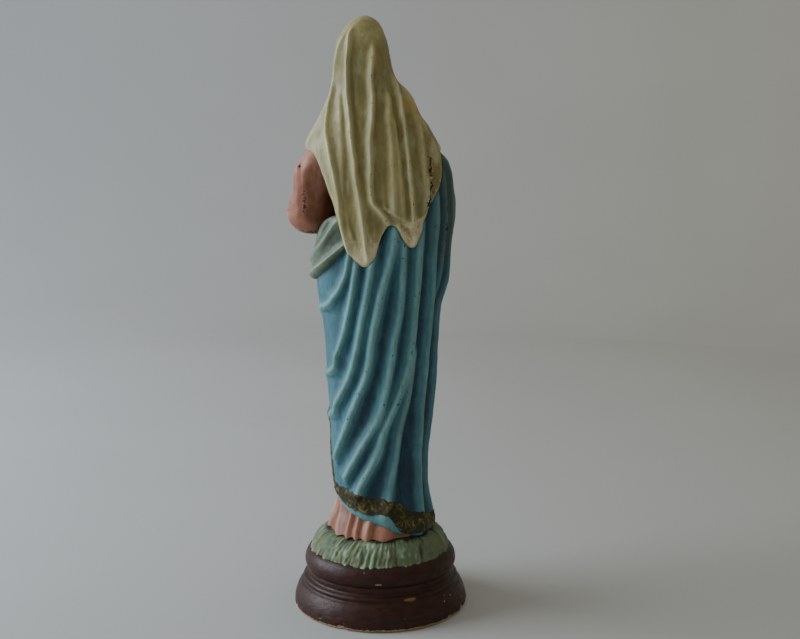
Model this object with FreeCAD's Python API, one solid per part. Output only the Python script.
"""Painted plaster madonna statue on a round moulded plinth.

A standing veiled woman with joined hands. The frame's origin is the centre of the plinth's
foot, +Z is up, the figure looks along -Y and its left hand is towards +X. Millimetres.
Each sculpted element is a closed solid of its own, fitted face to face with its neighbours.
"""

import FreeCAD
import Part
import math
import os

V = FreeCAD.Vector

# Driving dimensions
HEIGHT = 300.0
PLINTH_R = 45.0
PLINTH_H = 30.0
MOUND_TOP = 40.0
HEAD_CENTRE = V(8.4, -4.5, 279.5)
HEAD_HALF = V(10.6, 12.8, 16.0)
HAND_PLANE_X = 4.0
DRESS_WALL = 10.0
ROLL_PROUD = 2.0
GIRDLE_PROUD = 1.2
WAIST_Z = 196.0
GIRDLE_TOP_Z = 203.0
SHOULDER_Z = 250.0
VEIL_FRONT_Y = -7.0

# Plinth and mound
PLINTH_TOP_R = 36.5
RECESS_R = 30.0
PLUG_INSET = 1.0
PLUG_T = 3.0
SPIGOT_R = 27.0
SPIGOT_H = 5.0
MOUND_FLAT_R = 30.0

# Iron wire inside the plaster
ROD_R = 2.0
NECK_WIRE_R = 1.5
WRIST_WIRE_R = 0.9

SECTION_POINTS = 36
SECTION_POWER = 2.15
FAR = 60.0

# Horizontal sections as (height, left, right, front, back), measured from the frame's axes.
SKIRT = [
    (MOUND_TOP, 25.5, -25, -26, 25.5),
    (50, 23.5, -23.5, -24.5, 23),
    (65, 22, -22, -23, 21.5),
    (90, 22.5, -23, -23, 21.5),
    (120, 24, -25, -23, 21.5),
    (150, 25.5, -26, -22, 21.5),
    (180, 25, -26, -20, 21),
    (WAIST_Z, 22, -22, -17, 18),
]
BODICE = [
    (WAIST_Z, 22, -22, -17, 18),
    (205, 20.5, -19, -16, 16.5),
    (215, 21.5, -19.5, -17, 17.5),
    (225, 24, -21, -18, 18.5),
    (234, 27, -23.5, -17, 18.5),
    (240, 28, -23, -14, 17),
    (246, 22, -16, -10.5, 12.5),
    (SHOULDER_Z, 13, -7, -8.5, 7.5),
]
MANTLE = [
    (MOUND_TOP, 26.5, -29, -29, 28.5),
    (52, 24.5, -27, -27, 26),
    (66, 24.5, -25.5, -26, 24.5),
    (82, 25, -25.5, -26, 24),
    (100, 26, -27.5, -26.5, 24),
    (120, 27.7, -29.3, -26.5, 24),
    (140, 28.5, -30, -26, 24.3),
    (158, 30, -31.5, -25.5, 24.5),
    (170, 33, -35, -25, 25),
    (185, 33, -37, -23.5, 25),
    (200, 33, -38.5, -22, 24.5),
    (215, 33, -38, -21, 24),
    (226, 33, -34.5, -19, 22.8),
    (234, 31, -30, -16.5, 21),
    (241, 26, -26, -12, 17.5),
]
VEIL = [
    (170, 36, -39, -25, 28),
    (185, 36, -40, -24, 28),
    (200, 37, -41.5, -23, 27.5),
    (215, 38, -41, -21, 26.8),
    (226, 38.5, -37.5, -19, 25.6),
    (234, 37.5, -33, -17, 24),
    (240, 35.7, -30, -15.5, 22.8),
    (246, 33, -26, -14, 21),
    (252, 29.5, -21.5, -12.5, 19),
    (259, 26.5, -17, -12, 16.5),
    (265, 24.3, -12, -13.5, 15),
    (272, 23.5, -8, -15.5, 14.6),
    (280, 23.5, -6.3, -16.5, 15),
    (288, 21.7, -4.9, -15.5, 13.6),
    (294, 17.5, -2, -11.5, 9.5),
    (HEIGHT, 11, 5, -4, 2),
]

# Outlines seen from the back or the front, as (x, z).
VEIL_HEM = [
    (38, 234), (24.5, 204), (17, 187), (7, 178), (2.5, 184), (-5, 200), (-12, 192),
    (-16.5, 188), (-20, 194), (-22, 204), (-28, 214), (-31, 221), (-34, 229),
]
BACK_HEM = [(-FAR, 41.5), (-26, 41.5), (-16, 43), (-8, 45), (0, 48), (10, 51), (24, 56), (FAR, 62)]
FRONT_HEM = [
    (-FAR, 41.5), (-15, 43), (-13, 104), (0, 102), (14, 98), (21, 93), (23.5, 80), (25.2, 58), (FAR, 62),
]
FRONT_ROLL = [(-17, 196), (-4, 189), (12, 180), (26, 173), (FAR, 168)]
BACK_ROLL = [(19, 175), (27, 171), (FAR, 168)]
ROLL_DEPTH = 12.0


def section(z, left, right, front, back):
    """A smooth closed egg-like wire at one height."""
    centre = (left + right) / 2
    half = (left - right) / 2
    points = []
    for i in range(SECTION_POINTS):
        a = 2 * math.pi * i / SECTION_POINTS
        c, s = math.cos(a), math.sin(a)
        depth = back if s > 0 else -front
        x = centre + half * math.copysign(abs(c) ** (2 / SECTION_POWER), c)
        y = depth * math.copysign(abs(s) ** (2 / SECTION_POWER), s)
        points.append(V(x, y, z))
    curve = Part.BSplineCurve()
    curve.interpolate(points, True)
    return Part.Wire([curve.toShape()])


def loft(rows):
    return Part.makeLoft([section(*row) for row in rows], True, False)


def inset(rows, by):
    """The same sections, smaller by a wall thickness."""
    return [(z, left - by, right + by, front + by, back - by) for z, left, right, front, back in rows]


def prism(outline, y_low, y_high):
    """An outline in x and z, as a solid between two depths."""
    points = [V(x, y_low, z) for x, z in outline]
    face = Part.Face(Part.makePolygon(points + points[:1]))
    return face.extrude(V(0, y_high - y_low, 0))


def below(line, y_low, y_high):
    """Everything under a line, down past the plinth."""
    return prism(line + [(line[-1][0], -FAR), (line[0][0], -FAR)], y_low, y_high)


def above(line, y_low, y_high):
    """Everything over a line, up past the head."""
    top = HEIGHT + FAR
    return prism(line + [(line[-1][0], top), (line[0][0], top)], y_low, y_high)


def band(line, depth, y_low, y_high):
    """The strip between a line and the same line raised by a depth."""
    raised = [(x, z + depth) for x, z in reversed(line)]
    return prism(line + raised, y_low, y_high)


def ellipsoid(centre, half):
    stretch = FreeCAD.Matrix()
    stretch.scale(half)
    ball = Part.makeSphere(1.0).transformGeometry(stretch)
    ball.translate(centre)
    return ball


def rod(start, end, radius, end_radius=None):
    """A round bar, or a cone where it has a second radius."""
    along = end - start
    if end_radius is None:
        return Part.makeCylinder(radius, along.Length, start, along)
    return Part.makeCone(radius, end_radius, along.Length, start, along)


def plinth():
    """A turned foot, a bead, a shallow cove and a half-round moulding, recessed underneath."""
    recess_top = PLUG_INSET + PLUG_T
    foot_side = Part.Arc(V(PLINTH_R, 0, 2.5), V(43.4, 0, 9.2), V(40.2, 0, 13.4))
    bead = Part.Arc(V(40.2, 0, 13.4), V(39.9, 0, 15.6), V(38, 0, 17))
    cove = Part.Arc(V(38, 0, 17), V(37.8, 0, 18.6), V(38, 0, 20.2))
    moulding = Part.Arc(V(38, 0, 20.2), V(39.3, 0, 24), V(PLINTH_TOP_R, 0, PLINTH_H))
    corners = [
        V(PLINTH_TOP_R, 0, PLINTH_H),
        V(SPIGOT_R, 0, PLINTH_H),
        V(SPIGOT_R, 0, PLINTH_H - SPIGOT_H),
        V(0, 0, PLINTH_H - SPIGOT_H),
        V(0, 0, recess_top),
        V(RECESS_R, 0, recess_top),
        V(RECESS_R, 0, 0),
        V(PLINTH_R, 0, 0),
        V(PLINTH_R, 0, 2.5),
    ]
    edges = [a.toShape() for a in (foot_side, bead, cove, moulding)]
    edges += [Part.LineSegment(a, b).toShape() for a, b in zip(corners, corners[1:])]
    face = Part.Face(Part.Wire(edges))
    return face.revolve(V(0, 0, 0), V(0, 0, 1), 360)


def base_plug():
    return Part.makeCylinder(RECESS_R, PLUG_T, V(0, 0, PLUG_INSET))


def grass_mound():
    """A low dome with a spigot that sits in the plinth."""
    slope = Part.Arc(V(PLINTH_TOP_R - 0.5, 0, PLINTH_H), V(34.5, 0, 36.5), V(MOUND_FLAT_R, 0, MOUND_TOP))
    corners = [
        V(MOUND_FLAT_R, 0, MOUND_TOP),
        V(0, 0, MOUND_TOP),
        V(0, 0, PLINTH_H - SPIGOT_H),
        V(SPIGOT_R, 0, PLINTH_H - SPIGOT_H),
        V(SPIGOT_R, 0, PLINTH_H),
        V(PLINTH_TOP_R - 0.5, 0, PLINTH_H),
    ]
    edges = [slope.toShape()]
    edges += [Part.LineSegment(a, b).toShape() for a, b in zip(corners, corners[1:])]
    return Part.Face(Part.Wire(edges)).revolve(V(0, 0, 0), V(0, 0, 1), 360)


def hand_pair():
    """Both hands as one upright almond shape, palm to palm."""
    rows = [
        (214, 5.4, -24, 5.6),
        (222, 4.6, -26.5, 5.8),
        (230, 4.0, -29.5, 5.2),
        (238, 3.3, -32, 4.2),
        (245, 2.0, -34, 2.6),
    ]
    wires = []
    for z, half, y, depth in rows:
        ring = Part.Ellipse(V(0, 0, 0), depth, half).toShape()
        ring.rotate(V(0, 0, 0), V(0, 0, 1), 90)
        ring.translate(V(HAND_PLANE_X, y, z))
        wires.append(Part.Wire([ring]))
    return Part.makeLoft(wires, True, False)


def arm(shoulder, elbow, wrist, radius, cuff_radius):
    """A wide sleeve bent at the elbow and narrowing to the wrist."""
    upper = rod(shoulder, elbow, radius - 1.8, radius - 0.4)
    lower = rod(elbow, wrist, radius - 0.4, cuff_radius)
    return upper.fuse(Part.makeSphere(radius, elbow)).fuse(lower)


def girdle():
    """A narrow belt standing proud of the waist."""
    rows = [row for row in BODICE if row[0] < 216]
    strip = Part.makeBox(2 * FAR, 2 * FAR, GIRDLE_TOP_Z - WAIST_Z, V(-FAR, -FAR, WAIST_Z))
    return loft(inset(rows, -GIRDLE_PROUD)).common(strip)


def foot(x):
    """The tip of a foot, standing on the mound."""
    toes = ellipsoid(V(x, -24, MOUND_TOP), V(4.4, 9.5, 5))
    ground = Part.makeBox(2 * FAR, 2 * FAR, MOUND_TOP, V(-FAR, -FAR, 0))
    return toes.cut(ground)


def mantle_shell():
    """The mantle's outside, cut to its tilted hems and its open upper left side."""
    drape = loft(MANTLE).cut(below(BACK_HEM, 0, FAR)).cut(below(FRONT_HEM, -FAR, 0))
    return drape.cut(above(FRONT_ROLL, -FAR, 0)).cut(above(BACK_ROLL, 0, FAR))


def mantle_roll():
    """The turned-back upper edge that crosses the front and the left hip."""
    rows = [row for row in MANTLE if 158 <= row[0] <= 226]
    front = band(FRONT_ROLL, ROLL_DEPTH, -FAR, 0)
    back = band(BACK_ROLL, ROLL_DEPTH, 0, FAR)
    return loft(inset(rows, -ROLL_PROUD)).common(front.fuse(back))


def veil_shell():
    """The veil's outside, open at the front and cut to its pointed back hem."""
    sides = [(-FAR, 229), (-FAR, HEIGHT + 5), (FAR, HEIGHT + 5), (FAR, 234)]
    opening = Part.makeBox(2 * FAR, FAR, HEIGHT - 3 - 160, V(-FAR, VEIL_FRONT_Y - FAR, 160))
    return loft(VEIL).common(prism(VEIL_HEM + sides, -FAR, FAR)).cut(opening)


def cut_all(shape, others):
    """What is left of a shape as its one main piece, without slivers."""
    for other in others:
        shape = shape.cut(other)
    return max(shape.Solids, key=lambda solid: solid.Volume)


def build():
    """Every element by name, each cut back to the ones beneath it."""
    parts = {}

    # Iron wire
    wires = {
        "figure_rod": rod(V(-1, 0, MOUND_TOP - 8), V(2, 0, 232), ROD_R),
        "neck_wire": rod(V(3.6, -1, 234), V(8, -4, 276), NECK_WIRE_R),
        "left_wrist_wire": rod(V(16, -20, 211), V(7, -26, 220), WRIST_WIRE_R),
        "right_wrist_wire": rod(V(-8, -20, 211), V(1, -26, 220), WRIST_WIRE_R),
    }

    # Base
    parts["plinth"] = plinth()
    parts["base_plug"] = base_plug()
    parts["grass_mound"] = grass_mound().cut(wires["figure_rod"])

    # Dress
    skirt, bodice = loft(SKIRT), loft(BODICE)
    body = [skirt, bodice]
    parts["dress_skirt"] = skirt.cut(loft(inset(SKIRT, DRESS_WALL)))
    parts["dress_bodice"] = cut_all(bodice, [wires["figure_rod"], wires["neck_wire"]])
    parts["girdle"] = cut_all(girdle(), body)
    parts["left_foot"] = foot(11).cut(skirt)
    parts["right_foot"] = foot(-7).cut(skirt)

    # Head
    skull = ellipsoid(HEAD_CENTRE, HEAD_HALF)
    neck = cut_all(rod(V(3.6, -1, 244), V(7.4, -3.6, 268), 7.6, 6.4), [skull, bodice])
    hair = ellipsoid(HEAD_CENTRE + V(0, 1.3, 0.3), HEAD_HALF + V(0.9, 1.2, 0.9))
    face_opening = Part.makeBox(FAR, FAR, 2 * FAR, V(HEAD_CENTRE.x - FAR / 2, -FAR - 11, 240))
    parts["head"] = skull.cut(wires["neck_wire"])
    parts["neck"] = neck.cut(wires["neck_wire"])
    parts["hair"] = cut_all(hair, [skull, neck, face_opening])

    # Arms and hands
    left_half = Part.makeBox(FAR, 2 * FAR, 2 * FAR, V(HAND_PLANE_X, -FAR, 180))
    both_hands = cut_all(hand_pair(), body)
    left_arm = arm(V(24, 1, 236), V(34.2, -2, 204.2), V(8, -25, 218), 10.6, 6)
    right_arm = arm(V(-20, -2, 234), V(-25, -9, 204.2), V(0, -25, 218), 9.4, 6)
    parts["left_hand"] = both_hands.common(left_half).cut(wires["left_wrist_wire"])
    parts["right_hand"] = both_hands.cut(left_half).cut(wires["right_wrist_wire"])
    left_sleeve = cut_all(left_arm, body + [both_hands, parts["girdle"]])
    right_sleeve = cut_all(right_arm, body + [both_hands, parts["girdle"], left_sleeve])
    parts["left_sleeve"] = left_sleeve.cut(wires["left_wrist_wire"])
    parts["right_sleeve"] = right_sleeve.cut(wires["right_wrist_wire"])

    # Mantle
    beneath = body + [parts["girdle"], left_sleeve, right_sleeve, both_hands]
    roll = cut_all(mantle_roll(), beneath)
    parts["mantle"] = cut_all(mantle_shell(), beneath + [roll])
    parts["mantle_turnback"] = roll

    # Veil
    parts["veil"] = cut_all(veil_shell(), beneath + [parts["mantle"], roll, skull, neck, hair])

    parts.update(wires)
    return parts


def main():
    os.makedirs("parts", exist_ok=True)
    for name, shape in build().items():
        count = len(shape.Solids)
        if count == 1:
            shape = shape.Solids[0]
        print(f"{name:18s} solids {count} valid {shape.isValid()} volume {shape.Volume:9.1f}")
        shape.exportStep(f"parts/{name}.step")


main()
